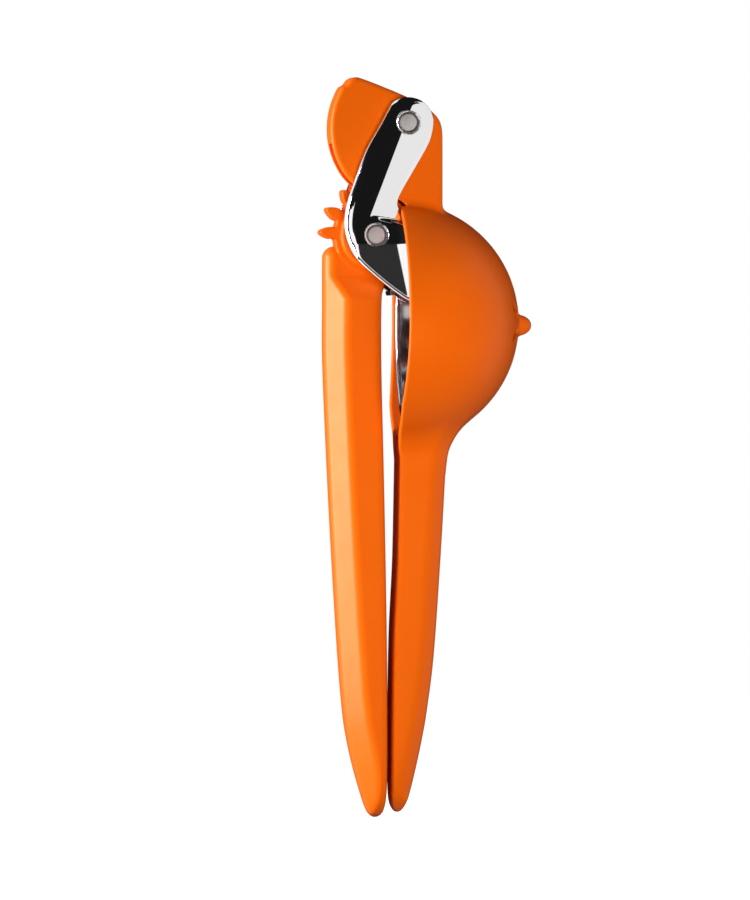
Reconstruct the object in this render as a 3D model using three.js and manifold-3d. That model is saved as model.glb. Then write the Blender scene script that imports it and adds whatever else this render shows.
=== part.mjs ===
// Hand-held geared citrus press, standing on its handle tips with the press closed.
// Millimetres. +Z runs up from the handle tips to the head, +X from the press handle
// towards the bottom of the bowl, and +Y across the press from the front side to the back.
// Every part is symmetric about the plane Y = 0.
import * as THREE from 'three';
import Module from 'manifold-3d';

const wasm = await Module();
wasm.setup();

// ---- pivots and gears -------------------------------------------------------------
const UPPER_PIVOT = { x: -8.0, z: 277.8 };
const LOWER_PIVOT = { x: -20.8, z: 232.8 };
const GEAR_MODULE = 2.75;
const PRESSURE_ANGLE = degrees(25);
const TOOTH_THINNING = 0.12;
const SUN_TEETH = 20;
const PLANET_TEETH = 14;
const LINE_OF_CENTRES = Math.atan2(UPPER_PIVOT.z - LOWER_PIVOT.z, UPPER_PIVOT.x - LOWER_PIVOT.x);
const CENTRE_DISTANCE = Math.hypot(UPPER_PIVOT.z - LOWER_PIVOT.z, UPPER_PIVOT.x - LOWER_PIVOT.x);
const ROOT_CLEARANCE = 0.4;
const GEAR_HALF_WIDTH = 9.0;

// ---- widths across the press (half widths, measured from Y = 0) -----------------
const HEAD_HALF = 11.9;
const HEAD_SLOT_HALF = 9.3;
const PLATE_INNER = 12.9;
const PLATE_OUTER = 15.5;
const WASHER_INNER = 12.1;
const WASHER_OUTER = 12.7;
const HANDLE_HALF = 15.0;

// ---- pins -----------------------------------------------------------------------
const PIN_RADIUS = 4.0;
const PIN_HALF_LENGTH = 15.3;
const BORE_RADIUS = 4.05;
const COUNTERSINK_RADIUS = 5.4;
const COUNTERSINK_DEPTH = 1.2;
const WASHER_RADIUS = 7.5;
const HUB_BOSS_RADIUS = 13.6;
const PIN_SIDES = 32;

// ---- bowl -----------------------------------------------------------------------
const BOWL_CENTRE = { x: -11.2, z: 197.7 };
const BOWL_OUTER = 48.6;
const BOWL_INNER = 45.1;
const BOWL_RIM = [[-11.1, 249], [-10.3, 230], [-9.7, 210], [-9.6, 192], [-10.4, 172], [-11.8, 158], [-13.2, 148]];
const NUB_CENTRE_Z = 197.0;
const NUB_RADIUS = 4.1;
const NUB_TIP_X = 42.7;
const STRAINER_SLOTS = 8;
const STRAINER_SLOT_WIDTH = 3.0;
const STRAINER_FROM = 6.5;
const STRAINER_TO = 17.5;

// ---- press cup ------------------------------------------------------------------
const CUP_CENTRE = { x: -9.5, z: 197.7 };
const CUP_OUTER = 39.5;
const CUP_INNER = 37.7;
const TROUGH_INNER = 23.0;
const TROUGH_OUTER = 25.0;

function degrees(value) {
  return value * Math.PI / 180;
}

// ---- solid helpers --------------------------------------------------------------
function toSolid(geometry) {
  const bare = geometry.clone();
  bare.deleteAttribute('normal');
  bare.deleteAttribute('uv');
  const merged = mergeCorners(bare);
  return new wasm.Manifold(new wasm.Mesh({
    numProp: 3,
    vertProperties: new Float32Array(merged.positions),
    triVerts: new Uint32Array(merged.triangles),
  }));
}

// Gives every corner that several triangles share a single index, so the surface closes.
function mergeCorners(geometry) {
  const source = geometry.getAttribute('position');
  const index = geometry.getIndex();
  const count = index ? index.count : source.count;
  const seen = new Map();
  const positions = [];
  const corners = [];
  for (let i = 0; i < count; i += 1) {
    const from = index ? index.getX(i) : i;
    const point = [source.getX(from), source.getY(from), source.getZ(from)];
    const key = point.map((value) => Math.round(value * 1e4)).join(' ');
    if (!seen.has(key)) {
      seen.set(key, positions.length / 3);
      positions.push(...point);
    }
    corners.push(seen.get(key));
  }
  const triangles = [];
  for (let i = 0; i < corners.length; i += 3) {
    const [a, b, c] = [corners[i], corners[i + 1], corners[i + 2]];
    if (a !== b && b !== c && c !== a) {
      triangles.push(a, b, c);
    }
  }
  return { positions, triangles };
}

function union(...solids) {
  return solids.reduce((all, next) => all.add(next));
}

function toGeometry(solid) {
  const mesh = solid.getMesh();
  const geometry = new THREE.BufferGeometry();
  geometry.setAttribute('position', new THREE.BufferAttribute(new Float32Array(mesh.vertProperties), 3));
  geometry.setIndex(new THREE.BufferAttribute(new Uint32Array(mesh.triVerts), 1));
  geometry.computeVertexNormals();
  return geometry;
}

// A slab with the side outline [x, z], reaching from y = low to y = high.
function slab(outline, low, high) {
  const shape = new THREE.Shape(outline.map(([x, z]) => new THREE.Vector2(x, z)));
  const geometry = new THREE.ExtrudeGeometry(shape, { depth: high - low, bevelEnabled: false });
  geometry.rotateX(Math.PI / 2);
  geometry.translate(0, high, 0);
  return toSolid(geometry);
}

function prism(outline, halfWidth) {
  return slab(outline, -halfWidth, halfWidth);
}

// A slab with the front outline [y, z], reaching from x = low to x = high.
function crossPrism(outline, low, high) {
  const shape = new THREE.Shape(outline.map(([y, z]) => new THREE.Vector2(y, z)));
  const geometry = new THREE.ExtrudeGeometry(shape, { depth: high - low, bevelEnabled: false });
  geometry.rotateX(Math.PI / 2);
  geometry.rotateZ(Math.PI / 2);
  geometry.translate(low, 0, 0);
  return toSolid(geometry);
}

// A round bar along Y through a pivot.
function crossBar(pivot, radius, low, high, sides = PIN_SIDES) {
  const geometry = new THREE.CylinderGeometry(radius, radius, high - low, sides);
  geometry.translate(pivot.x, (low + high) / 2, pivot.z);
  return toSolid(geometry);
}

// A body turned about an axis along X through (x, 0, z); the profile is [radius, distance along X].
function turnedAlongX(profile, centre, sides) {
  const points = profile.map(([radius, along]) => new THREE.Vector2(radius, along));
  const geometry = new THREE.LatheGeometry(points, sides);
  geometry.rotateZ(-Math.PI / 2);
  geometry.translate(centre.x, 0, centre.z);
  return facingOut(geometry);
}

// A body turned about an axis along Y through a pivot; the profile is [radius, y].
function turnedAlongY(profile, pivot, sides = PIN_SIDES) {
  const points = profile.map(([radius, along]) => new THREE.Vector2(radius, along));
  const geometry = new THREE.LatheGeometry(points, sides);
  geometry.translate(pivot.x, 0, pivot.z);
  return facingOut(geometry);
}

function facingOut(geometry) {
  const solid = toSolid(geometry);
  if (solid.volume() > 0) {
    return solid;
  }
  const index = geometry.getIndex();
  for (let i = 0; i < index.count; i += 3) {
    const second = index.getX(i + 1);
    index.setX(i + 1, index.getX(i + 2));
    index.setX(i + 2, second);
  }
  return toSolid(geometry);
}

// Points [x, z] along an arc about a pivot, between two angles in radians.
function arc(pivot, radius, from, to, steps) {
  const points = [];
  for (let i = 0; i <= steps; i += 1) {
    const angle = from + (to - from) * i / steps;
    points.push([pivot.x + radius * Math.cos(angle), pivot.z + radius * Math.sin(angle)]);
  }
  return points;
}

// ---- gears ----------------------------------------------------------------------
function involute(angle) {
  return Math.tan(angle) - angle;
}

function gearSizes(teeth, mateTeeth) {
  const pitch = teeth * GEAR_MODULE / 2;
  const mateTip = mateTeeth * GEAR_MODULE / 2 + GEAR_MODULE;
  return {
    pitch,
    base: pitch * Math.cos(PRESSURE_ANGLE),
    tip: pitch + GEAR_MODULE,
    root: CENTRE_DISTANCE - mateTip - ROOT_CLEARANCE,
    thickness: Math.PI * GEAR_MODULE / 2 - TOOTH_THINNING,
  };
}

// Half the angle one tooth covers at a radius.
function toothHalfAngle(gear, radius) {
  const atPitch = gear.thickness / (2 * gear.pitch) + involute(PRESSURE_ANGLE);
  const flank = radius > gear.base ? involute(Math.acos(gear.base / radius)) : 0;
  return atPitch - flank;
}

// Outline of a gear that only carries teeth at the given angles, listed in rising order.
function gearOutline(pivot, gear, toothAngles) {
  const radii = [gear.root, gear.base, gear.pitch - 1.0, gear.pitch + 0.6, gear.tip - 1.0, gear.tip];
  const flank = radii.filter((radius, i) => i === 0 || radius > gear.root + 0.05);
  const points = [];
  const at = (radius, angle) => {
    points.push([pivot.x + radius * Math.cos(angle), pivot.z + radius * Math.sin(angle)]);
  };
  for (const angle of toothAngles) {
    flank.forEach((radius) => at(radius, angle - toothHalfAngle(gear, radius)));
    [...flank].reverse().forEach((radius) => at(radius, angle + toothHalfAngle(gear, radius)));
  }
  const rootHalf = toothHalfAngle(gear, gear.root);
  const last = toothAngles[toothAngles.length - 1] + rootHalf;
  const next = toothAngles[0] - rootHalf + 2 * Math.PI;
  const steps = 24;
  for (let i = 1; i < steps; i += 1) {
    at(gear.root, last + (next - last) * i / steps);
  }
  return points;
}

const SUN = gearSizes(SUN_TEETH, PLANET_TEETH);
const PLANET = gearSizes(PLANET_TEETH, SUN_TEETH);

// A planet tooth and a gap of the sun stand on the line of centres.
const PLANET_ANGLES = [0, 1, 2, 3, 4].map((k) => LINE_OF_CENTRES + k * 2 * Math.PI / PLANET_TEETH);
const SUN_ANGLES = [-3.5, -2.5, -1.5, -0.5, 0.5].map(
  (k) => LINE_OF_CENTRES + Math.PI + k * 2 * Math.PI / SUN_TEETH,
);

// ---- grips ----------------------------------------------------------------------
// Cuts a 45 degree bevel along one outer edge of a grip, on both sides of the press.
// The edge lists points [x, z] from the top down; outward is the side it faces (+1 or -1 in x).
function bevelAlong(solid, edge, halfWidth, bevel, outward) {
  let result = solid;
  for (let i = 0; i + 1 < edge.length; i += 1) {
    const [x0, z0] = edge[i];
    const [x1, z1] = edge[i + 1];
    const normal = [-outward * (z1 - z0), outward * (x1 - x0)];
    const turn = Math.atan2(-normal[1], normal[0]);
    for (const side of [-1, 1]) {
      const cutter = new THREE.BoxGeometry(60, 80, Math.hypot(x1 - x0, z1 - z0) + 1.5);
      cutter.translate(30, 0, 0);
      cutter.rotateZ(side * Math.PI / 4);
      cutter.rotateY(turn);
      cutter.translate((x0 + x1) / 2, side * (halfWidth - bevel), (z0 + z1) / 2);
      result = result.subtract(toSolid(cutter));
    }
  }
  return result;
}

// A solid grip with a bevel along its outer edge on each side; its inner face is plain.
function makeGrip(outer, inner, { bevel, outward }) {
  const bar = prism([...outer, ...[...inner].reverse()], HANDLE_HALF);
  return bevelAlong(bar, outer, HANDLE_HALF, bevel, outward);
}

// ---- bowl body --------------------------------------------------------------------
const HEAD_TOP = [
  [6.1, 236], [6.1, 274.6], [4.9, 278.6], [0.9, 282.6], [-3.1, 286.2], [-10.3, 289.2],
  [-15.5, 291.4], [-21.5, 293.6], [-28.6, 295.9], [-31.6, 295.4],
];
const HEAD_ARC_CENTRE = { x: -6.0, z: 275.4 };
const HEAD_ARC_RADIUS = 32.9;

// The head's rounded left side: an arc that never comes nearer the hub boss than its clearance.
function headOutline() {
  const round = arc(HEAD_ARC_CENTRE, HEAD_ARC_RADIUS, degrees(146), degrees(262), 22).map(([x, z]) => {
    const reach = Math.hypot(x - UPPER_PIVOT.x, z - UPPER_PIVOT.z);
    const scale = Math.min(1, HEAD_ARC_RADIUS / reach);
    return [UPPER_PIVOT.x + (x - UPPER_PIVOT.x) * scale, UPPER_PIVOT.z + (z - UPPER_PIVOT.z) * scale];
  });
  return [...HEAD_TOP, ...round, [-10.9, 240]];
}

function head() {
  const blank = prism(headOutline(), HEAD_HALF);
  const from = degrees(196);
  const to = degrees(268);
  const sector = [
    ...arc(UPPER_PIVOT, SUN.root - 1, to, from, 14),
    ...arc(UPPER_PIVOT, 60, from, to, 4),
  ];
  const teeth = prism(gearOutline(UPPER_PIVOT, SUN, SUN_ANGLES), HEAD_SLOT_HALF + 0.2);
  return blank.subtract(prism(sector, HEAD_SLOT_HALF)).add(teeth.intersect(prism(sectorOf(from, to), 30)));
}

function sectorOf(from, to) {
  return [[UPPER_PIVOT.x, UPPER_PIVOT.z], ...arc(UPPER_PIVOT, 60, from - 0.02, to + 0.02, 4)];
}

function ballProfile(radius, from, to, steps) {
  const points = [];
  for (let i = 0; i <= steps; i += 1) {
    const angle = from + (to - from) * i / steps;
    points.push([Math.max(0, radius * Math.cos(angle)), radius * Math.sin(angle)]);
  }
  return points;
}

// The bowl's outside: a half ball with a short straight skirt past its centre.
function bowlOutside() {
  const profile = [[0, -3], [BOWL_OUTER, -3], ...ballProfile(BOWL_OUTER, 0, Math.PI / 2, 12)];
  return turnedAlongX(profile, BOWL_CENTRE, 56);
}

function bowlInside() {
  const profile = [[0, -30], [BOWL_INNER, -30], ...ballProfile(BOWL_INNER, 0, Math.PI / 2, 11)];
  return turnedAlongX(profile, BOWL_CENTRE, 56);
}

// Everything on the open side of the rim, which bows a little towards the bowl's bottom.
function beforeTheRim() {
  const outline = [...BOWL_RIM, [-40, 148], [-40, 249]];
  return prism([...outline].reverse(), 60);
}

function nub() {
  const base = BOWL_CENTRE.x + BOWL_INNER;
  const profile = [
    [0, base + 0.5], [NUB_RADIUS + 0.6, base + 0.5], [NUB_RADIUS + 0.5, base + 3.4],
    [NUB_RADIUS - 0.3, NUB_TIP_X - 3.0], [NUB_RADIUS - 1.2, NUB_TIP_X - 1.2],
    [NUB_RADIUS - 2.6, NUB_TIP_X - 0.25], [0, NUB_TIP_X],
  ];
  return turnedAlongX(profile, { x: 0, z: NUB_CENTRE_Z }, 20);
}

function strainerSlots() {
  const slots = [];
  for (let i = 0; i < STRAINER_SLOTS; i += 1) {
    const geometry = new THREE.BoxGeometry(40, STRAINER_SLOT_WIDTH, STRAINER_TO - STRAINER_FROM);
    geometry.translate(45, 0, (STRAINER_TO + STRAINER_FROM) / 2);
    geometry.rotateX(2 * Math.PI * (i + 0.5) / STRAINER_SLOTS);
    geometry.translate(0, 0, BOWL_CENTRE.z);
    slots.push(toSolid(geometry));
  }
  return union(...slots);
}

const BODY_GRIP_OUTER = [
  [18, 159.5], [14.2, 154.6], [11.0, 149.8], [8.9, 145], [7.9, 140], [7.2, 133], [5.6, 105], [2.9, 66],
  [0.1, 43], [-1.8, 32], [-4.1, 21], [-6.8, 10], [-9.0, 4], [-11.2, 2.2],
];
const BODY_GRIP_INNER = [
  [-11.9, 159.5], [-11.9, 144], [-12.6, 105], [-13.4, 88], [-14.0, 76], [-14.4, 60], [-14.7, 32], [-14.7, 12],
  [-14.0, 6], [-12.6, 3], [-11.4, 2.3],
];

function makeBowlBody() {
  const grip = makeGrip(BODY_GRIP_OUTER, BODY_GRIP_INNER, { bevel: 5.5, outward: 1 })
    .intersect(crossPrism(gripFront(160), -60, 60));
  return union(head(), bowlOutside().subtract(beforeTheRim()), grip)
    .subtract(bowlInside())
    .subtract(strainerSlots())
    .add(nub())
    .subtract(crossBar(UPPER_PIVOT, BORE_RADIUS, -20, 20))
    .subtract(crossBar(LOWER_PIVOT, PLANET.root + 0.9, -HEAD_HALF - 1, HEAD_HALF + 1, 48));
}

// Front outline [y, z] of a grip: straight sides that round off to the tip.
function gripFront(top) {
  const right = [[HANDLE_HALF, top], [HANDLE_HALF, 30], [14.2, 18], [12.2, 9], [9.4, 3.6], [6.0, 0.8], [2.6, -0.2]];
  const left = right.map(([y, z]) => [-y, z]).reverse();
  return [...right, ...left];
}

// ---- press handle -----------------------------------------------------------------
const PRESS_GRIP_OUTER = [
  [-36.0, 228.4], [-38.8, 228.0], [-40.8, 226.2], [-41.2, 222], [-41.2, 183], [-39.6, 144], [-37.6, 105],
  [-35.2, 66], [-33.3, 43], [-31.7, 32], [-29.3, 21], [-26.2, 10], [-24.3, 4], [-22.6, 1.2], [-20.6, 0],
];
const PRESS_GRIP_INNER = [
  [-14.0, 222], [-15.6, 216], [-17.6, 211], [-18.5, 206], [-18.5, 178], [-17.7, 144], [-16.9, 105], [-16.3, 66],
  [-16.1, 32], [-16.2, 12], [-16.9, 4], [-18.4, 0.8],
];
const FACE_RAMP_TOP = 216.6;
const FACE_RAMP_BOTTOM = 207.4;

function makePressHandle() {
  const front = [
    ...[[GEAR_HALF_WIDTH, 240], [GEAR_HALF_WIDTH, FACE_RAMP_TOP], [HANDLE_HALF, FACE_RAMP_BOTTOM]],
    ...gripFront(0).slice(1, 13),
    ...[[-HANDLE_HALF, FACE_RAMP_BOTTOM], [-GEAR_HALF_WIDTH, FACE_RAMP_TOP], [-GEAR_HALF_WIDTH, 240]],
  ];
  const grip = makeGrip(PRESS_GRIP_OUTER, PRESS_GRIP_INNER, { bevel: 8.8, outward: -1 });
  return union(
    grip.intersect(crossPrism(front, -60, 60)),
    prism(gearOutline(LOWER_PIVOT, PLANET, PLANET_ANGLES), GEAR_HALF_WIDTH),
    crossBar(LOWER_PIVOT, HUB_BOSS_RADIUS, -HEAD_HALF, HEAD_HALF, 40),
  ).subtract(crossBar(LOWER_PIVOT, BORE_RADIUS, -20, 20));
}

// ---- press arm --------------------------------------------------------------------
const PLATE_TOP_RADIUS = 10.7;
const PLATE_LEFT = [
  [-19.6, 276.8], [-25.2, 266.6], [-29.4, 254.6], [-32.2, 246.6], [-33.4, 240.6], [-33.5, 234.6],
  [-31.5, 226.8], [-28.2, 220.8], [-21.4, 213.6], [-13.4, 207.8], [-7.6, 205.8],
];
const PLATE_RIGHT = [
  [-3.4, 209.0], [1.0, 217.5], [2.6, 226.0], [1.6, 232.6], [-2.6, 236.6], [-8.0, 238.0], [-11.0, 238.9],
  [-12.4, 240.4], [-12.8, 244.2], [-10.9, 250.1], [-5.0, 258.2], [0.4, 268.4],
];

function plateOutline() {
  const top = arc(UPPER_PIVOT, PLATE_TOP_RADIUS, degrees(-14), degrees(142), 14);
  return [...PLATE_LEFT, ...PLATE_RIGHT, ...top];
}

// The pin holes are countersunk from the outer face, so the pin ends can be spread flush.
function armPlate(side) {
  const [low, high] = side < 0 ? [-PLATE_OUTER, -PLATE_INNER] : [PLATE_INNER, PLATE_OUTER];
  let plate = slab(plateOutline(), low, high);
  for (const pivot of [UPPER_PIVOT, LOWER_PIVOT]) {
    const profile = [
      [0, side * (PLATE_OUTER + 0.5)], [COUNTERSINK_RADIUS, side * (PLATE_OUTER + 0.5)],
      [COUNTERSINK_RADIUS, side * PLATE_OUTER], [BORE_RADIUS, side * (PLATE_OUTER - COUNTERSINK_DEPTH)],
      [BORE_RADIUS, side * (PLATE_INNER - 0.5)], [0, side * (PLATE_INNER - 0.5)],
    ];
    plate = plate.subtract(turnedAlongY(profile, pivot));
  }
  return plate;
}

// The bridge between the plates: a curved trough that keeps the hub's teeth clear of the cup.
function makeArmTrough() {
  const from = degrees(8);
  const to = degrees(-76);
  const outline = [
    ...arc(LOWER_PIVOT, TROUGH_OUTER, to, from, 14),
    ...arc(LOWER_PIVOT, TROUGH_INNER, from, to, 14),
  ];
  return prism(outline, PLATE_INNER - 0.15);
}

function makePressCup() {
  const shell = [
    ...ballProfile(CUP_OUTER, 0, Math.PI / 2, 10),
    ...ballProfile(CUP_INNER, 0, Math.PI / 2, 10).reverse(),
  ];
  const closed = turnedAlongX([...shell, shell[0]], CUP_CENTRE, 52);
  const notch = prism([
    ...arc(LOWER_PIVOT, TROUGH_OUTER + 0.15, degrees(-76), degrees(12), 14),
    [4.4, 260], [-30, 260],
  ], PLATE_INNER);
  const grown = growOutline(plateOutline(), 0.15);
  const slots = slab(grown, PLATE_INNER - 0.15, PLATE_OUTER + 0.15)
    .add(slab(grown, -PLATE_OUTER - 0.15, -PLATE_INNER + 0.15));
  return closed.subtract(notch).subtract(slots);
}

// Moves every corner of a closed outline outwards by about the same distance.
function growOutline(outline, distance) {
  const count = outline.length;
  return outline.map(([x, z], i) => {
    const before = outline[(i + count - 1) % count];
    const after = outline[(i + 1) % count];
    const length = Math.hypot(after[0] - before[0], after[1] - before[1]);
    const normal = [(after[1] - before[1]) / length, -(after[0] - before[0]) / length];
    return [x + normal[0] * distance, z + normal[1] * distance];
  });
}

function makePin(pivot) {
  const profile = [
    [0, -PIN_HALF_LENGTH], [PIN_RADIUS - 0.3, -PIN_HALF_LENGTH], [PIN_RADIUS, -PIN_HALF_LENGTH + 0.3],
    [PIN_RADIUS, PIN_HALF_LENGTH - 0.3], [PIN_RADIUS - 0.3, PIN_HALF_LENGTH], [0, PIN_HALF_LENGTH],
  ];
  return turnedAlongY(profile, pivot);
}

function makeWasher(pivot, side) {
  const near = side * WASHER_INNER;
  const far = side * WASHER_OUTER;
  const profile = [
    [BORE_RADIUS, near], [WASHER_RADIUS, near], [WASHER_RADIUS, far], [BORE_RADIUS, far], [BORE_RADIUS, near],
  ];
  return turnedAlongY(profile, pivot);
}

// ---- the press ----------------------------------------------------------------------
const NYLON = { color: [0.93, 0.36, 0.04], roughness: 0.42, metalness: 0 };
const CHROME = { color: [0.86, 0.86, 0.87], roughness: 0.08, metalness: 1 };
const PIN_STEEL = { color: [0.72, 0.68, 0.66], roughness: 0.4, metalness: 1 };
const WASHER_NYLON = { color: [0.9, 0.9, 0.87], roughness: 0.5, metalness: 0 };

const press = new THREE.Group();
press.name = 'citrus_press_juicer';

function place(name, solid, look) {
  const material = new THREE.MeshStandardMaterial({
    color: new THREE.Color(...look.color),
    roughness: look.roughness,
    metalness: look.metalness,
  });
  const mesh = new THREE.Mesh(toGeometry(solid), material);
  mesh.name = name;
  press.add(mesh);
}

place('bowl_body', makeBowlBody(), NYLON);
place('press_handle', makePressHandle(), NYLON);
place('arm_plate_front', armPlate(-1), CHROME);
place('arm_plate_back', armPlate(1), CHROME);
place('arm_trough', makeArmTrough(), CHROME);
place('press_cup', makePressCup(), CHROME);
place('upper_pin', makePin(UPPER_PIVOT), PIN_STEEL);
place('lower_pin', makePin(LOWER_PIVOT), PIN_STEEL);
place('upper_washer_front', makeWasher(UPPER_PIVOT, -1), WASHER_NYLON);
place('upper_washer_back', makeWasher(UPPER_PIVOT, 1), WASHER_NYLON);
place('lower_washer_front', makeWasher(LOWER_PIVOT, -1), WASHER_NYLON);
place('lower_washer_back', makeWasher(LOWER_PIVOT, 1), WASHER_NYLON);

export default press;
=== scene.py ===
"""Hand-held geared citrus press, closed, standing on its handle tips.

Each moulded or pressed piece is described as a field: a signed distance in millimetres, negative inside.
mesh_piece() turns a field into a smooth mesh in the shared frame, in metres. The axes are the CAD model's:
+Z up from the handle tips, +X towards the bottom of the bowl, +Y across the press, away from the camera.
"""

import math

import bpy
import numpy as np
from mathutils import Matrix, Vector


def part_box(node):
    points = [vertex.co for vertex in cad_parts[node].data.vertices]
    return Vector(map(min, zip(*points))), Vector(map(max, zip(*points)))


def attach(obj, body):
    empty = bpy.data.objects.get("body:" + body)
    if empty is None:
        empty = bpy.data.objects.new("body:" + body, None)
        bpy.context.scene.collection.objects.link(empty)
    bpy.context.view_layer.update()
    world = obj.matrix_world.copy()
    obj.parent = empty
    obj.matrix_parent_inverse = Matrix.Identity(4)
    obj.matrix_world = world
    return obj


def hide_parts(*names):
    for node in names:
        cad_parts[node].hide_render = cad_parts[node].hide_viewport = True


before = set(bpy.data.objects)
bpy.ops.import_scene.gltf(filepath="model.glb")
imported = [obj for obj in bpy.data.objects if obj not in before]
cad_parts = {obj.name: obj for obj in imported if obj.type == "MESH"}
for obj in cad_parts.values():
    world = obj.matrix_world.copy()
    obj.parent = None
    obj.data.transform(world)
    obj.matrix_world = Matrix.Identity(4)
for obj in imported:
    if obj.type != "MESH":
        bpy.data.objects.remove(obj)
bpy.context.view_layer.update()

MM = 0.001


def centre_of(node):
    """Middle of a CAD node, as (x, z) in millimetres."""
    low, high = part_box(node)
    middle = (low + high) / 2 / MM
    return float(middle[0]), float(middle[2])


# ---- driving sizes, in millimetres --------------------------------------------------
UPPER = centre_of("upper_pin")
LOWER = centre_of("lower_pin")
CENTRE_DISTANCE = math.hypot(UPPER[0] - LOWER[0], UPPER[1] - LOWER[1])
CENTRE_LINE = math.atan2(UPPER[1] - LOWER[1], UPPER[0] - LOWER[0])

GEAR_MODULE = 2.75
SUN_TEETH = 20
PLANET_TEETH = 14
GEAR_HALF = 9.0

HEAD_HALF = 11.9
HEAD_SLOT_HALF = 9.3
HANDLE_HALF = 15.0
BORE = 4.15
HUB_RADIUS = 13.6
HUB_ROOM = 17.0

BOWL = (-11.2, 197.7)
BOWL_OUTER = 48.6
BOWL_INNER = 45.1
NUB = (36.6, 196.8)
NUB_LENGTH = 5.9
NUB_RADIUS = 4.3
SLOTS = 8
SLOT_START = 7.6
SLOT_END = 16.4
SLOT_HALF = 1.5
CUP = (-9.5, 197.7)
CUP_OUTER = 39.5
CUP_INNER = 37.9
LIP_CENTRE = 38.7
LIP_RADIUS = 0.8
TROUGH_INNER = 23.0
TROUGH_OUTER = 25.0

PLATE_INNER = 12.9
PLATE_TOP = 17.3
PLATE_TOP_RADIUS = 10.1
PLATE_ROUNDING = math.radians(60)
EYELET_RADIUS = 4.75
RIDGE_FOOT = (-22.2, 243.4)
RIDGE_RISE = (0.356, 0.934)
RIDGE_SLOPE_RIGHT = 0.12
RIDGE_SLOPE_LEFT = 0.04
FOOT_SLOPE_DOWN = 0.09
FOOT_SLOPE_RIGHT = 0.05
SIDE_FACET = (-13.9, 229.4)
SIDE_FACET_NORMAL = (0.978, 0.207)
SIDE_FACET_BOW = 0.025


# ---- fields -------------------------------------------------------------------------
def length(*parts):
    return np.sqrt(sum(part * part for part in parts))


def join(a, b, fillet):
    """Union of two fields with a fillet of about that size."""
    blend = np.clip(0.5 + 0.5 * (b - a) / fillet, 0, 1)
    return b * (1 - blend) + a * blend - fillet * blend * (1 - blend)


def clip(a, b, rounding):
    """Intersection of two fields with a rounded edge."""
    return -join(-a, -b, rounding)


def cut(a, b, rounding):
    """Field a with field b taken away."""
    return clip(a, -b, rounding)


def slab(outline, y, half, rounding):
    """A flat piece with that side outline and half width, its edges rounded."""
    across = outline + rounding
    along = abs(y) - half + rounding
    inside = np.minimum(np.maximum(across, along), 0)
    outside = length(np.maximum(across, 0), np.maximum(along, 0))
    return inside + outside - rounding


def smooth_curve(points, steps=4):
    """A closed curve through the points, with extra points between them."""
    p = np.array(points, float)
    before, after, beyond = np.roll(p, 1, 0), np.roll(p, -1, 0), np.roll(p, -2, 0)
    rows = []
    for i in range(steps):
        t = i / steps
        rows.append(
            0.5
            * (
                2 * p
                + (after - before) * t
                + (2 * before - 5 * p + 4 * after - beyond) * t**2
                + (3 * p - before - 3 * after + beyond) * t**3
            )
        )
    return np.stack(rows, 1).reshape(-1, 2)


def inside_distance(outline, x, z):
    """Signed distance from a closed outline of (x, z) points, negative inside."""
    x, z = np.broadcast_arrays(x, z)
    nearest = np.full(x.shape, np.inf)
    sign = np.ones(x.shape)
    for (ax, az), (bx, bz) in zip(outline, np.roll(outline, -1, 0)):
        ex, ez = bx - ax, bz - az
        wx, wz = x - ax, z - az
        share = np.clip((wx * ex + wz * ez) / max(ex * ex + ez * ez, 1e-12), 0, 1)
        nearest = np.minimum(nearest, (wx - ex * share) ** 2 + (wz - ez * share) ** 2)
        above, below = z >= az, z < bz
        left = ex * wz > ez * wx
        crosses = (above & below & left) | (~above & ~below & ~left)
        sign = np.where(crosses, -sign, sign)
    return sign * np.sqrt(nearest)


def wedge(pivot, start, stop, x, z):
    """Negative between two directions from a pivot, going round from start to stop (under 180 degrees)."""
    a, b = math.radians(start), math.radians(stop)
    dx, dz = x - pivot[0], z - pivot[1]
    return np.maximum(dx * math.sin(a) - dz * math.cos(a), dz * math.cos(b) - dx * math.sin(b))


# ---- gears ----------------------------------------------------------------------------
PRESSURE_ANGLE = math.radians(25)
BACKLASH = 0.12
ROOT_CLEARANCE = 0.4


def involute(angle):
    return math.tan(angle) - angle


def gear_outline(pivot, teeth, mate_teeth, tooth_angles):
    """Outline of a gear that carries teeth only at the given angles, in rising order."""
    pitch = teeth * GEAR_MODULE / 2
    base = pitch * math.cos(PRESSURE_ANGLE)
    tip = pitch + GEAR_MODULE
    root = CENTRE_DISTANCE - (mate_teeth + 2) * GEAR_MODULE / 2 - ROOT_CLEARANCE
    half_pitch_tooth = (math.pi * GEAR_MODULE / 2 - BACKLASH) / (2 * pitch)

    def half_angle(radius):
        flank = involute(math.acos(base / radius)) if radius > base else 0
        return half_pitch_tooth + involute(PRESSURE_ANGLE) - flank

    radii = [root, max(base, root + 0.1), *np.linspace(max(base, root) + 0.6, tip, 5)]
    polar = []
    for angle in tooth_angles:
        polar += [(r, angle - half_angle(r)) for r in radii]
        polar += [(r, angle + half_angle(r)) for r in reversed(radii)]
    last = tooth_angles[-1] + half_angle(root)
    first = tooth_angles[0] - half_angle(root) + 2 * math.pi
    polar += [(root, a) for a in np.linspace(last, first, 40)[1:-1]]
    return np.array([(pivot[0] + r * math.cos(a), pivot[1] + r * math.sin(a)) for r, a in polar])


PLANET_ANGLES = [CENTRE_LINE + k * 2 * math.pi / PLANET_TEETH for k in range(5)]
SUN_ANGLES = [CENTRE_LINE + math.pi + (k - 3.5) * 2 * math.pi / SUN_TEETH for k in range(5)]
PLANET_OUTLINE = gear_outline(LOWER, PLANET_TEETH, SUN_TEETH, PLANET_ANGLES)
SUN_OUTLINE = gear_outline(UPPER, SUN_TEETH, PLANET_TEETH, SUN_ANGLES)


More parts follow.
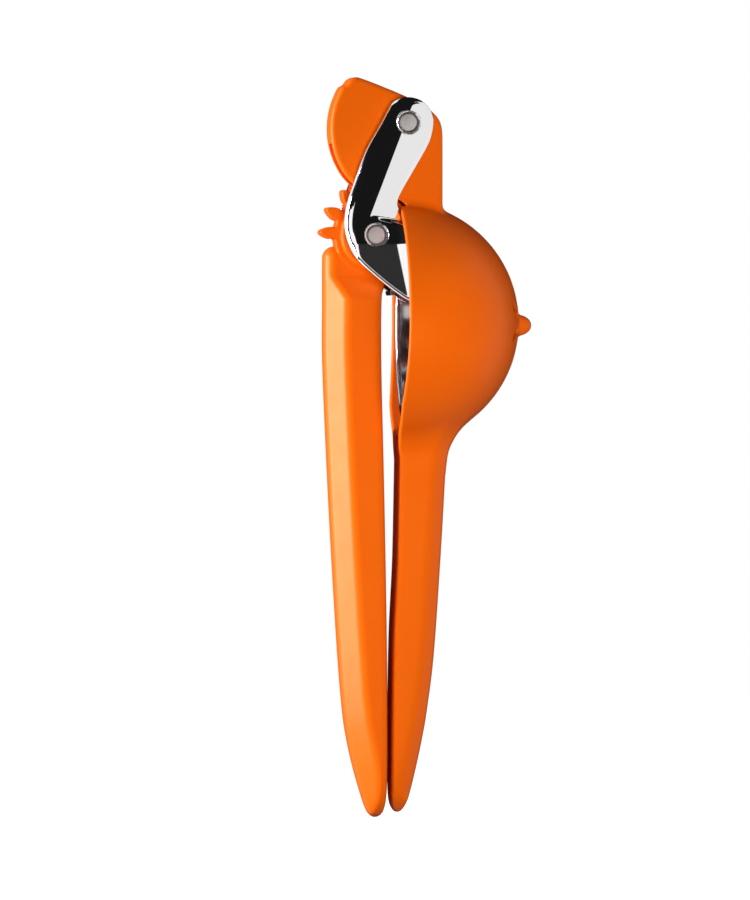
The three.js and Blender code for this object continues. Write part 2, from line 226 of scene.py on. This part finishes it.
# ---- the grips ------------------------------------------------------------------------
TIP_LENGTH = 30
TIP_POWER = 2.6
GRIP_ROUNDING = 3.0
BEVEL_ROUNDING = 1.6


def tip_width(z):
    """Half width of a grip near its tip, where it rounds off."""
    t = np.clip((TIP_LENGTH - z) / TIP_LENGTH, 0, 0.999)
    return HANDLE_HALF * (1 - t**TIP_POWER) ** (1 / TIP_POWER)


def grip(outer, inner, outward, bevel, face, x, y, z):
    """A handle bar: its side outline, its two faces, and a 45 degree bevel along its outer edge."""
    outline = smooth_curve([*outer, *reversed(inner)])
    reach = [(px - outward * 45, pz) for px, pz in inner]
    wide_outline = smooth_curve([*outer, *reversed(reach)])
    side = inside_distance(outline, x, z)
    back = inside_distance(wide_outline, x, z)
    faces = abs(y) - face
    bar = clip(side, faces, GRIP_ROUNDING)
    return clip(bar, (abs(y) - HANDLE_HALF + back + bevel) * math.sqrt(0.5), BEVEL_ROUNDING)


# ---- bowl body ------------------------------------------------------------------------
HEAD_ARC = (-6.0, 275.4)
HEAD_ARC_RADIUS = 32.9
HEAD_TOP = [
    (6.1, 232), (6.1, 245), (6.1, 258), (6.1, 268), (5.9, 275), (4.4, 279.4), (0.9, 283.0),
    (-3.1, 285.6), (-10.3, 289.0), (-15.5, 291.2), (-21.5, 293.6), (-26.4, 295.4), (-28.9, 295.9),
    (-31.2, 294.9), (-32.8, 292.8),
]
BODY_OUTER = [
    (9.0, 163), (10.0, 157), (9.8, 152), (8.8, 147), (8.1, 142.5), (7.6, 138), (7.2, 133), (5.6, 105),
    (2.9, 66), (0.1, 43), (-1.8, 32), (-4.1, 21), (-6.8, 10), (-9.0, 4.4),
]
BODY_INNER = [
    (-11.9, 163), (-11.9, 144), (-12.6, 105), (-13.4, 88), (-14.0, 76), (-14.4, 60), (-14.7, 32), (-14.7, 14),
    (-14.3, 7), (-13.0, 3.3), (-11.2, 2.2),
]


def head_outline():
    points = list(HEAD_TOP)
    for angle in np.radians(np.linspace(150, 262, 20)):
        x = HEAD_ARC[0] + HEAD_ARC_RADIUS * math.cos(angle)
        z = HEAD_ARC[1] + HEAD_ARC_RADIUS * math.sin(angle)
        scale = min(1, HEAD_ARC_RADIUS / math.hypot(x - UPPER[0], z - UPPER[1]))
        points.append((UPPER[0] + (x - UPPER[0]) * scale, UPPER[1] + (z - UPPER[1]) * scale))
    return smooth_curve([*points, (-10.6, 240), (-6, 232)])


HEAD_OUTLINE = head_outline()


def head_field(x, y, z):
    """The head, slotted between its two cheeks, with the fixed gear's teeth in the slot."""
    head = slab(inside_distance(HEAD_OUTLINE, x, z), y, HEAD_HALF, 1.7)
    from_pivot = length(x - UPPER[0], z - UPPER[1])
    sector = wedge(UPPER, 196, 268, x, z)
    slot = np.maximum(np.maximum(abs(y) - HEAD_SLOT_HALF, 23.4 - from_pivot), sector)
    head = cut(head, slot, 0.4)
    teeth = np.maximum(slab(inside_distance(SUN_OUTLINE, x, z), y, HEAD_SLOT_HALF + 0.2, 0.3), sector - 1)
    return np.minimum(head, teeth)


def rim_line(z):
    """Where the bowl's rim stands: it bows a little towards the bowl's bottom."""
    return np.maximum(-9.8 - np.where(z > 200, 0.0007, 0.0017) * (z - 200) ** 2, -11.9)


def open_side(z):
    """How far the lower body reaches towards the press handle."""
    inner = np.interp(z, (0, 32, 60, 76, 88, 105, 144), (-14.8, -14.8, -14.5, -14.1, -13.5, -12.7, -11.9))
    return np.where(z < 150, inner, rim_line(z))


def strainer(x, y, z):
    """Eight slots round the nub in the bottom of the bowl."""
    spot = None
    for k in range(SLOTS):
        angle = (k + 0.5) * math.tau / SLOTS
        dy, dz = math.sin(angle), math.cos(angle)
        along = np.clip(y * dy + (z - BOWL[1]) * dz, SLOT_START, SLOT_END)
        slot = length(y - along * dy, z - BOWL[1] - along * dz) - SLOT_HALF
        spot = slot if spot is None else np.minimum(spot, slot)
    return np.maximum(spot, 25 - x)


def bowl_body_field(x, y, z):
    """The body moulding: bowl, handle and head in one, then its hollow, slots, nub and pin hole."""
    ahead = np.maximum(x - BOWL[0], 0)
    radius = length(ahead, y, z - BOWL[1])
    bowl = np.maximum(radius - BOWL_OUTER, -20 - x)
    handle = grip(BODY_OUTER, BODY_INNER, 1, 5.5, tip_width(z), x, y, z)
    lower = clip(join(bowl, handle, 9.0), open_side(z) - x, 1.0)
    body = join(lower, head_field(x, y, z), 3.0)
    nub = (length((x - NUB[0]) / NUB_LENGTH, y / NUB_RADIUS, (z - NUB[1]) / NUB_RADIUS) - 1) * NUB_RADIUS
    body = cut(body, radius - BOWL_INNER, 1.0)
    body = cut(body, strainer(x, y, z), 0.8)
    body = join(body, np.maximum(nub, 34.5 - x), 1.2)
    hub_room = np.maximum(length(x - LOWER[0], z - LOWER[1]) - HUB_ROOM, abs(y) - HEAD_HALF - 1)
    body = cut(body, hub_room, 0.5)
    return np.maximum(body, BORE - length(x - UPPER[0], z - UPPER[1]))


# ---- press handle ---------------------------------------------------------------------
PRESS_OUTER = [
    (-34.0, 228.2), (-36.6, 228.3), (-39.0, 227.6), (-40.8, 225.4), (-41.2, 222), (-41.2, 205), (-41.2, 183),
    (-39.6, 144), (-37.6, 105), (-35.2, 66), (-33.3, 43), (-31.7, 32), (-29.3, 21), (-26.2, 10), (-24.2, 4),
    (-22.6, 1.2), (-20.6, 0),
]
PRESS_INNER = [
    (-14.0, 224), (-15.6, 216), (-17.6, 211), (-18.5, 205), (-18.5, 178), (-17.7, 144), (-16.9, 105),
    (-16.3, 66), (-16.1, 32), (-16.2, 12), (-16.9, 4), (-18.4, 0.9),
]
RAMP_TOP = 216.6
RAMP_BOTTOM = 207.4


def press_handle_field(x, y, z):
    """The press handle: grip, moving gear and hub boss in one."""
    face = np.interp(z, (RAMP_BOTTOM, RAMP_TOP), (HANDLE_HALF, GEAR_HALF))
    face = np.minimum(face, tip_width(z))
    handle = grip(PRESS_OUTER, PRESS_INNER, -1, 8.8, face, x, y, z)
    gear = slab(inside_distance(PLANET_OUTLINE, x, z), y, GEAR_HALF, 0.5)
    from_pivot = length(x - LOWER[0], z - LOWER[1])
    boss = slab(from_pivot - HUB_RADIUS, y, HEAD_HALF, 0.9)
    whole = join(join(handle, gear, 1.0), boss, 0.8)
    return np.maximum(whole, BORE - from_pivot)


# ---- press arm ------------------------------------------------------------------------
PLATE_LEFT = [
    (-15.7, 283.9), (-19.5, 276.8), (-25.2, 266.6), (-29.4, 254.6), (-32.2, 246.6), (-33.4, 240.6),
    (-33.4, 234.6), (-31.4, 228.0), (-28.0, 222.4), (-20.6, 215.6), (-13.2, 209.8), (-7.8, 206.4),
]
PLATE_RIGHT = [
    (-5.0, 206.6), (-2.4, 210.6), (1.0, 217.5), (2.4, 226.0), (1.0, 232.6), (-3.4, 235.6), (-7.0, 237.4),
    (-9.4, 239.6), (-11.0, 242.0), (-12.3, 245.4), (-10.6, 250.1), (-6.0, 258.2), (-0.3, 268.4), (1.5, 273.4),
]


def plate_outline():
    top = []
    for angle in np.radians(np.linspace(2, 130, 9)):
        across = PLATE_TOP_RADIUS * math.cos(angle)
        up = PLATE_TOP_RADIUS * math.sin(angle)
        top.append((UPPER[0] + across, UPPER[1] + up))
    return smooth_curve([*PLATE_LEFT, *PLATE_RIGHT, *top])


PLATE_OUTLINE = plate_outline()


def step_between(value, low, high):
    """A smooth 0 to 1 as the value goes from low to high."""
    t = np.clip((value - low) / (high - low), 0, 1)
    return t * t * (3 - 2 * t)


def rounded_size(value, rounding):
    """The size of a value, with the crease at zero rounded off."""
    return np.sqrt(value**2 + rounding**2) - rounding


def plate_top(x, z, from_edge):
    """The plate's outer face: a ridged arm above, a gently swollen foot below, rounded all round."""
    dx, dz = x - RIDGE_FOOT[0], z - RIDGE_FOOT[1]
    right = dx * RIDGE_RISE[1] - dz * RIDGE_RISE[0]
    arm = step_between(dz + 0.18 * dx, -4.8, -2.6)
    ridge = np.where(right > 0, RIDGE_SLOPE_RIGHT * arm, RIDGE_SLOPE_LEFT) * rounded_size(right, 0.2)
    beyond = (x - SIDE_FACET[0]) * SIDE_FACET_NORMAL[0] + (z - SIDE_FACET[1]) * SIDE_FACET_NORMAL[1]
    below = np.maximum(SIDE_FACET[1] - z, 0)
    swell = SIDE_FACET_BOW * np.clip(beyond, 0, 7) ** 2 + FOOT_SLOPE_RIGHT * np.maximum(right, 0)
    fall = ridge + (FOOT_SLOPE_DOWN * rounded_size(below, 0.3) - swell) * (1 - arm)
    left_radius = 3.4 + 1.9 * step_between(z, 214, 230)
    radius = left_radius + (1.8 - left_radius) * step_between(right, -3, 3)
    start = radius * math.sin(PLATE_ROUNDING)
    inward = np.clip(start - from_edge, 0, start)
    return PLATE_TOP - fall - (radius - np.sqrt(radius**2 - inward**2))


def plate_field(x, y, z):
    """The front plate, on the side of negative y: flat inside, swollen outside, with wide pin holes."""
    outline = inside_distance(PLATE_OUTLINE, x, z)
    plate = np.maximum(outline, (-y - plate_top(x, z, -outline)) * 0.8)
    plate = clip(plate, PLATE_INNER + y, 0.3)
    for pivot in (UPPER, LOWER):
        plate = np.maximum(plate, EYELET_RADIUS - 0.1 - length(x - pivot[0], z - pivot[1]))
    return plate


def trough_field(x, y, z):
    """The curved bridge between the plates, an arc about the lower pin."""
    radius = length(x - LOWER[0], z - LOWER[1])
    wall = abs(radius - (TROUGH_INNER + TROUGH_OUTER) / 2) - (TROUGH_OUTER - TROUGH_INNER) / 2
    wall = clip(wall, wedge(LOWER, -76, 8, x, z), 0.6)
    return clip(wall, abs(y) - PLATE_INNER + 0.1, 0.2)


def cup_field(x, y, z):
    """The press cup: a thin shell with a rolled lip, notched for the hub and slotted for the plates."""
    ahead = x - CUP[0]
    radius = length(ahead, y, z - CUP[1])
    shell = abs(radius - (CUP_OUTER + CUP_INNER) / 2) - (CUP_OUTER - CUP_INNER) / 2
    lip = length(length(y, z - CUP[1]) - LIP_CENTRE, ahead - 1.2) - LIP_RADIUS
    shell = join(clip(shell, 0.9 - ahead, 0.4), lip, 0.5)
    from_hub = length(x - LOWER[0], z - LOWER[1])
    notch = np.maximum(from_hub - TROUGH_OUTER - 0.1, abs(y) - PLATE_INNER)
    above = np.maximum(wedge(LOWER, 8, 100, x, z), abs(y) - PLATE_INNER)
    plates = np.maximum(inside_distance(PLATE_OUTLINE, x, z) - 0.2, abs(abs(y) - 14.6) - 1.9)
    shell = cut(shell, np.minimum(notch, above), 0.3)
    return cut(shell, plates, 0.2)


# ---- meshing --------------------------------------------------------------------------
CORNERS = np.array([(i, j, k) for i in (0, 1) for j in (0, 1) for k in (0, 1)])
EDGES = [(a, b) for a in range(8) for b in range(a + 1, 8) if abs(CORNERS[a] - CORNERS[b]).sum() == 1]


def slope(field, points, reach):
    """The field's rise at each point, measured over a small reach."""
    rows = []
    for axis in range(3):
        shift = np.zeros(3)
        shift[axis] = reach
        rows.append((field(*(points + shift).T) - field(*(points - shift).T)) / (2 * reach))
    return np.stack(rows, 1)


def crossing_points(values, axes, step, active):
    """One point in each cell that the surface crosses: the mean of its edges' crossings."""
    cells = np.argwhere(active)
    corner = np.stack([values[tuple((cells + offset).T)] for offset in CORNERS], 1)
    total = np.zeros((len(cells), 3))
    count = np.zeros((len(cells), 1))
    for a, b in EDGES:
        va, vb = corner[:, a], corner[:, b]
        hit = (va < 0) != (vb < 0)
        share = np.where(hit, va / np.where(hit, va - vb, 1), 0)[:, None]
        total += np.where(hit[:, None], CORNERS[a] + (CORNERS[b] - CORNERS[a]) * share, 0)
        count += hit[:, None]
    origin = np.array([axis[0] for axis in axes])
    return origin + (cells + total / count) * step


def surface_quads(inside, number):
    """Quads that join the cells round each grid edge the surface crosses."""
    quads = []
    for axis in range(3):
        u, v = (axis + 1) % 3, (axis + 2) % 3
        turned = np.transpose(inside, (axis, u, v))
        cells = np.transpose(number, (axis, u, v))
        here, there = turned[:-1, 1:-1, 1:-1], turned[1:, 1:-1, 1:-1]
        around = (cells[:, :-1, :-1], cells[:, 1:, :-1], cells[:, 1:, 1:], cells[:, :-1, 1:])
        leaving, entering = here & ~there, ~here & there
        quads.append(np.stack([c[leaving] for c in around], 1))
        quads.append(np.stack([c[entering] for c in reversed(around)], 1))
    return np.concatenate(quads)


def mesh_piece(name, field, low, high, step, mirrored=False):
    """A smooth mesh of a field inside a box, in millimetres; mirrored puts it on the other side of y = 0."""
    low, high = np.array(low, float), np.array(high, float)
    axes = [np.arange(low[i], high[i] + step, step) for i in range(3)]
    x, y, z = axes[0][:, None, None], axes[1][None, :, None], axes[2][None, None, :]
    shape = tuple(len(axis) for axis in axes)
    values = np.broadcast_to(field(x, y, z), shape)
    inside = values < 0
    cell_shape = tuple(n - 1 for n in shape)
    hits = np.zeros(cell_shape, int)
    for i, j, k in CORNERS:
        hits += inside[i : i + cell_shape[0], j : j + cell_shape[1], k : k + cell_shape[2]]
    active = (hits > 0) & (hits < 8)
    number = np.full(cell_shape, -1)
    number[active] = np.arange(active.sum())
    points = crossing_points(values, axes, step, active)
    quads = surface_quads(inside, number)
    for _ in range(2):
        rise = slope(field, points, 0.1)
        size = np.maximum((rise**2).sum(1), 0.25)
        move = np.clip(field(*points.T) / size, -step / 2, step / 2)[:, None] * rise
        points = points - move
    normals = slope(field, points, 0.2)
    normals /= np.maximum(np.linalg.norm(normals, axis=1, keepdims=True), 1e-9)
    if mirrored:
        points[:, 1] *= -1
        normals[:, 1] *= -1
        quads = quads[:, ::-1]
    mesh = bpy.data.meshes.new(name)
    mesh.from_pydata((points * MM).tolist(), [], quads.tolist())
    mesh.polygons.foreach_set("use_smooth", [True] * len(mesh.polygons))
    mesh.normals_split_custom_set_from_vertices(normals.tolist())
    piece = bpy.data.objects.new(name, mesh)
    bpy.context.collection.objects.link(piece)
    return piece


def turned_piece(name, profile, pivot, sides=96, capped=True):
    """A lathe about an axis along Y; the profile lists (radius, y) from end to end, in millimetres."""
    vertices, faces = [], []
    for radius, y in profile:
        for k in range(sides):
            angle = 2 * math.pi * k / sides
            x = pivot[0] + radius * math.cos(angle)
            z = pivot[1] + radius * math.sin(angle)
            vertices.append((x * MM, y * MM, z * MM))
    for row in range(len(profile) - 1):
        for k in range(sides):
            a, b = row * sides + k, row * sides + (k + 1) % sides
            faces.append((a, a + sides, b + sides, b))
    if capped:
        faces.append(tuple(range(sides)))
        faces.append(tuple(reversed(range((len(profile) - 1) * sides, len(profile) * sides))))
    mesh = bpy.data.meshes.new(name)
    mesh.from_pydata(vertices, [], faces)
    mesh.polygons.foreach_set("use_smooth", [True] * len(mesh.polygons))
    mesh.set_sharp_from_angle(angle=math.radians(25))
    piece = bpy.data.objects.new(name, mesh)
    bpy.context.collection.objects.link(piece)
    return piece


# ---- materials ------------------------------------------------------------------------
def new_material(name):
    material = bpy.data.materials.new(name)
    material.use_nodes = True
    nodes, links = material.node_tree.nodes, material.node_tree.links
    return material, nodes, links, nodes["Principled BSDF"]


def noise(nodes, links, scale, detail, coordinate):
    texture = nodes.new("ShaderNodeTexNoise")
    texture.inputs["Scale"].default_value = scale
    texture.inputs["Detail"].default_value = detail
    links.new(coordinate, texture.inputs["Vector"])
    return texture.outputs["Fac"]


def remap(nodes, links, value, low, high):
    stretch = nodes.new("ShaderNodeMapRange")
    stretch.inputs["To Min"].default_value = low
    stretch.inputs["To Max"].default_value = high
    links.new(value, stretch.inputs["Value"])
    return stretch.outputs["Result"]


def add_bump(nodes, links, shader, height, strength, distance):
    bump = nodes.new("ShaderNodeBump")
    bump.inputs["Strength"].default_value = strength
    bump.inputs["Distance"].default_value = distance
    links.new(height, bump.inputs["Height"])
    links.new(bump.outputs["Normal"], shader.inputs["Normal"])


def orange_nylon():
    """Satin orange nylon: faint mottling, a fine moulded grain and slightly uneven gloss."""
    material, nodes, links, shader = new_material("orange_nylon")
    place = nodes.new("ShaderNodeTexCoord").outputs["Object"]
    mottle = noise(nodes, links, 45, 3, place)
    mix = nodes.new("ShaderNodeMix")
    mix.data_type = "RGBA"
    mix.inputs["A"].default_value = (0.79, 0.108, 0.0012, 1)
    mix.inputs["B"].default_value = (0.83, 0.122, 0.0018, 1)
    links.new(mottle, mix.inputs["Factor"])
    links.new(mix.outputs["Result"], shader.inputs["Base Color"])
    links.new(remap(nodes, links, noise(nodes, links, 130, 2, place), 0.34, 0.42), shader.inputs["Roughness"])
    add_bump(nodes, links, shader, noise(nodes, links, 2600, 2, place), 0.12, 0.00006)
    shader.inputs["Specular IOR Level"].default_value = 0.33
    shader.inputs["Specular Tint"].default_value = (1.0, 0.5, 0.12, 1)
    return material


def polished_steel(name, shade, smoothest, roughest):
    """Polished steel with faint polishing haze; the roughness runs between the two values."""
    material, nodes, links, shader = new_material(name)
    place = nodes.new("ShaderNodeTexCoord").outputs["Object"]
    tint = nodes.new("ShaderNodeMix")
    tint.data_type = "RGBA"
    tint.inputs["A"].default_value = (shade, shade, shade, 1)
    tint.inputs["B"].default_value = (shade * 1.04, shade * 1.04, shade * 1.035, 1)
    haze = noise(nodes, links, 60, 3, place)
    links.new(haze, tint.inputs["Factor"])
    links.new(tint.outputs["Result"], shader.inputs["Base Color"])
    links.new(remap(nodes, links, haze, smoothest, roughest), shader.inputs["Roughness"])
    shader.inputs["Metallic"].default_value = 1.0
    return material


def pin_steel():
    """Dull steel, bead-blasted on the pin ends."""
    material, nodes, links, shader = new_material("pin_steel")
    place = nodes.new("ShaderNodeTexCoord").outputs["Object"]
    speckle = noise(nodes, links, 1500, 3, place)
    tint = nodes.new("ShaderNodeMix")
    tint.data_type = "RGBA"
    tint.inputs["A"].default_value = (0.58, 0.535, 0.515, 1)
    tint.inputs["B"].default_value = (0.68, 0.635, 0.615, 1)
    links.new(speckle, tint.inputs["Factor"])
    links.new(tint.outputs["Result"], shader.inputs["Base Color"])
    links.new(remap(nodes, links, speckle, 0.45, 0.6), shader.inputs["Roughness"])
    shader.inputs["Metallic"].default_value = 0.6
    add_bump(nodes, links, shader, speckle, 0.2, 0.00004)
    return material


def washer_plastic():
    """Plain white slippery plastic."""
    material, nodes, links, shader = new_material("washer_plastic")
    place = nodes.new("ShaderNodeTexCoord").outputs["Object"]
    cloud = noise(nodes, links, 300, 2, place)
    tint = nodes.new("ShaderNodeMix")
    tint.data_type = "RGBA"
    tint.inputs["A"].default_value = (0.76, 0.75, 0.72, 1)
    tint.inputs["B"].default_value = (0.84, 0.83, 0.80, 1)
    links.new(cloud, tint.inputs["Factor"])
    links.new(tint.outputs["Result"], shader.inputs["Base Color"])
    shader.inputs["Roughness"].default_value = 0.45
    return material


# ---- pieces ---------------------------------------------------------------------------
def dress(piece, body, node, material):
    """Puts a piece on its body, in place of its CAD node, with its material."""
    piece.data.materials.clear()
    piece.data.materials.append(material)
    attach(piece, body)
    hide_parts(node)


def box_of(node, margin=1.5):
    """A CAD node's box in millimetres, with a margin."""
    low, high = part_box(node)
    return [v / MM - margin for v in low], [v / MM + margin for v in high]


# Side profiles of a pin's end and of the ring round a pin hole, as (radius, distance from the middle plane).
PIN_END = [(3.9, 12.0), (3.9, 14.3), (3.4, 14.6), (3.4, 16.1), (3.25, 16.3), (3.0, 16.4)]
EYELET_RING = [
    (3.95, 14.6), (4.0, 16.2), (4.1, 16.8), (4.3, 17.15),
    (4.5, 17.2), (4.7, 17.0), (4.85, 16.5), (4.85, 14.0),
]


def make_pin(name, pivot):
    """A pin with flat ends that stand a little below the rings pressed round its holes."""
    profile = [(radius, -y) for radius, y in reversed(PIN_END)] + PIN_END
    return turned_piece(name + "_turned", profile, pivot)


def make_plate(name, mirrored):
    """A side plate with the raised ring that is pressed up round each pin hole."""
    low, high = box_of("arm_plate_front", 4.5)
    plate = mesh_piece(name, plate_field, low, high, 0.35, mirrored)
    rings = []
    for pivot in (UPPER, LOWER):
        profile = EYELET_RING if mirrored else [(radius, -y) for radius, y in reversed(EYELET_RING)]
        rings.append(turned_piece(name + "_ring", profile, pivot, capped=False))
    bpy.ops.object.select_all(action="DESELECT")
    for part in (*rings, plate):
        part.select_set(True)
    bpy.context.view_layer.objects.active = plate
    bpy.ops.object.join()
    return plate


def build_press():
    """Makes every piece and puts it on its body; the washers stay as they are in the frame."""
    nylon = orange_nylon()
    steel = polished_steel("polished_steel", 0.90, 0.03, 0.07)
    # A darker copy of the polished steel for the cup and trough. Its shade of 0.48 against 0.90 is painted
    # shade for these parts, which sit in shadow between the handles. Its rougher spun finish is real.
    spun_painted_dark = polished_steel("spun_steel_painted_shade", 0.48, 0.10, 0.16)
    dull = pin_steel()
    white = washer_plastic()
    coarse = 0.85
    fine = 0.5

    body = mesh_piece("bowl_body_moulding", bowl_body_field, *box_of("bowl_body"), coarse)
    dress(body, "bowl", "bowl_body", nylon)
    handle = mesh_piece("press_handle_moulding", press_handle_field, *box_of("press_handle"), coarse * 0.9)
    dress(handle, "handle", "press_handle", nylon)

    dress(make_plate("arm_plate_front_pressed", False), "arm", "arm_plate_front", steel)
    dress(make_plate("arm_plate_back_pressed", True), "arm", "arm_plate_back", steel)
    trough = mesh_piece("arm_trough_bridge", trough_field, *box_of("arm_trough"), fine)
    dress(trough, "arm", "arm_trough", spun_painted_dark)
    cup = mesh_piece("press_cup_spun", cup_field, *box_of("press_cup", 2.5), fine * 1.5)
    dress(cup, "arm", "press_cup", spun_painted_dark)

    for name, pivot in (("upper_pin", UPPER), ("lower_pin", LOWER)):
        dress(make_pin(name, pivot), "arm", name, dull)
    for node in ("upper_washer_front", "upper_washer_back", "lower_washer_front", "lower_washer_back"):
        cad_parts[node].data.materials.clear()
        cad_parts[node].data.materials.append(white)


# ---- studio ---------------------------------------------------------------------------
VIEW_AZIMUTH = math.radians(-4.3)
VIEW_TARGET = Vector((-0.0202, 0, 0.1469))
VIEW_DISTANCE = 12.0
VIEW_HEIGHT = 0.36


def make_camera():
    camera = bpy.data.objects.new("camera", bpy.data.cameras.new("camera"))
    bpy.context.collection.objects.link(camera)
    back = Vector((math.sin(VIEW_AZIMUTH), -math.cos(VIEW_AZIMUTH), 0))
    camera.location = VIEW_TARGET + back * VIEW_DISTANCE
    camera.rotation_euler = (math.pi / 2, 0, VIEW_AZIMUTH)
    camera.data.sensor_width = 36
    camera.data.lens = 36 * VIEW_DISTANCE / VIEW_HEIGHT
    camera.data.clip_end = 50
    bpy.context.scene.camera = camera


def add_softbox(name, place, target, size, power, colour=(1, 1, 1)):
    lamp = bpy.data.lights.new(name, "AREA")
    lamp.shape = "RECTANGLE"
    lamp.size, lamp.size_y = size
    lamp.energy = power
    lamp.color = colour
    softbox = bpy.data.objects.new(name, lamp)
    softbox.location = place
    softbox.rotation_euler = (Vector(target) - Vector(place)).to_track_quat("-Z", "Y").to_euler()
    bpy.context.collection.objects.link(softbox)
    return softbox


def studio_world():
    """A white studio: white to the camera, boards and black gaps to glossy rays, soft light to the rest."""
    world = bpy.data.worlds.new("studio")
    bpy.context.scene.world = world
    world.use_nodes = True
    nodes, links = world.node_tree.nodes, world.node_tree.links
    nodes.clear()
    out = nodes.new("ShaderNodeOutputWorld")
    direction = nodes.new("ShaderNodeTexCoord").outputs["Generated"]
    split = nodes.new("ShaderNodeSeparateXYZ")
    links.new(direction, split.inputs["Vector"])

    def maths(operation, a, b):
        node = nodes.new("ShaderNodeMath")
        node.operation = operation
        for socket, value in zip(node.inputs, (a, b)):
            if isinstance(value, (int, float)):
                socket.default_value = value
            else:
                links.new(value, socket)
        return node.outputs[0]

    def background(value, colour=(1, 1, 1, 1)):
        node = nodes.new("ShaderNodeBackground")
        node.inputs["Color"].default_value = colour
        if isinstance(value, (int, float)):
            node.inputs["Strength"].default_value = value
        else:
            links.new(value, node.inputs["Strength"])
        return node.outputs[0]

    def mix(factor, first, second):
        node = nodes.new("ShaderNodeMixShader")
        links.new(factor, node.inputs[0])
        links.new(first, node.inputs[1])
        links.new(second, node.inputs[2])
        return node.outputs[0]

    def within(value, low, high):
        return maths("MULTIPLY", maths("GREATER_THAN", value, low), maths("LESS_THAN", value, high))

    # Turn round the vertical: 0 straight towards the camera, positive to the right, in radians.
    turn = maths("ARCTAN2", split.outputs["X"], maths("MULTIPLY", split.outputs["Y"], -1.0))
    height = split.outputs["Z"]

    def board(turns, heights):
        return maths("MULTIPLY", within(turn, *turns), within(height, *heights))

    flag = board((0.0, 0.36), (0.02, 0.64))
    right_side = board((0.10, 2.1), (-0.5, 0.7))
    right_board = maths("MULTIPLY", maths("SUBTRACT", right_side, flag), 0.84)
    left_board = board((-1.15, -0.62), (-0.42, 0.2))
    edge_board = board((-2.5, -1.7), (-0.6, 0.9))
    under_board = board((-2.6, -1.0), (-0.98, -0.6))
    low_board = board((-0.75, -0.12), (-0.36, -0.11))
    left_boards = maths("ADD", maths("ADD", left_board, edge_board), maths("ADD", low_board, under_board))
    from_below = maths("MULTIPLY", maths("MAXIMUM", maths("MULTIPLY", height, -1.0), 0.0), 0.16)
    mirror_light = maths("ADD", maths("ADD", maths("MAXIMUM", right_board, 0.0), left_boards), from_below)
    mirror_light = maths("ADD", mirror_light, 0.008)
    soft_light = maths("ADD", maths("MULTIPLY", split.outputs["X"], 0.08), 0.30)

    path = nodes.new("ShaderNodeLightPath")
    seen = mix(path.outputs["Is Glossy Ray"], background(soft_light), background(mirror_light))
    seen = mix(path.outputs["Is Camera Ray"], seen, background(1.0))
    links.new(seen, out.inputs["Surface"])


def make_floor():
    """A plain white floor, bright enough to melt into the background."""
    mesh = bpy.data.meshes.new("floor")
    reach = 6.0
    corners = [(-reach, -reach, 0), (reach, -reach, 0), (reach, reach, 0), (-reach, reach, 0)]
    mesh.from_pydata(corners, [], [(0, 1, 2, 3)])
    floor = bpy.data.objects.new("floor", mesh)
    bpy.context.collection.objects.link(floor)
    material, nodes, links, shader = new_material("white_floor")
    shader.inputs["Base Color"].default_value = (0.25, 0.25, 0.25, 1)
    shader.inputs["Roughness"].default_value = 0.9
    shader.inputs["Emission Color"].default_value = (1, 1, 1, 1)
    shader.inputs["Emission Strength"].default_value = 1.0
    mesh.materials.append(material)
    floor.visible_glossy = False
    floor.visible_diffuse = False


def make_studio():
    bpy.context.scene.view_settings.view_transform = "Standard"
    studio_world()
    make_floor()
    add_softbox("left_strip", (-0.9, 0.0, 0.16), (-0.02, 0, 0.15), (0.22, 0.8), 26, (1.0, 0.98, 1.35))
    front = add_softbox("front_softbox", (0.05, -0.5, 0.10), (0, 0, 0.10), (0.3, 0.3), 2.27)
    front.visible_glossy = False
    make_camera()


build_press()
make_studio()
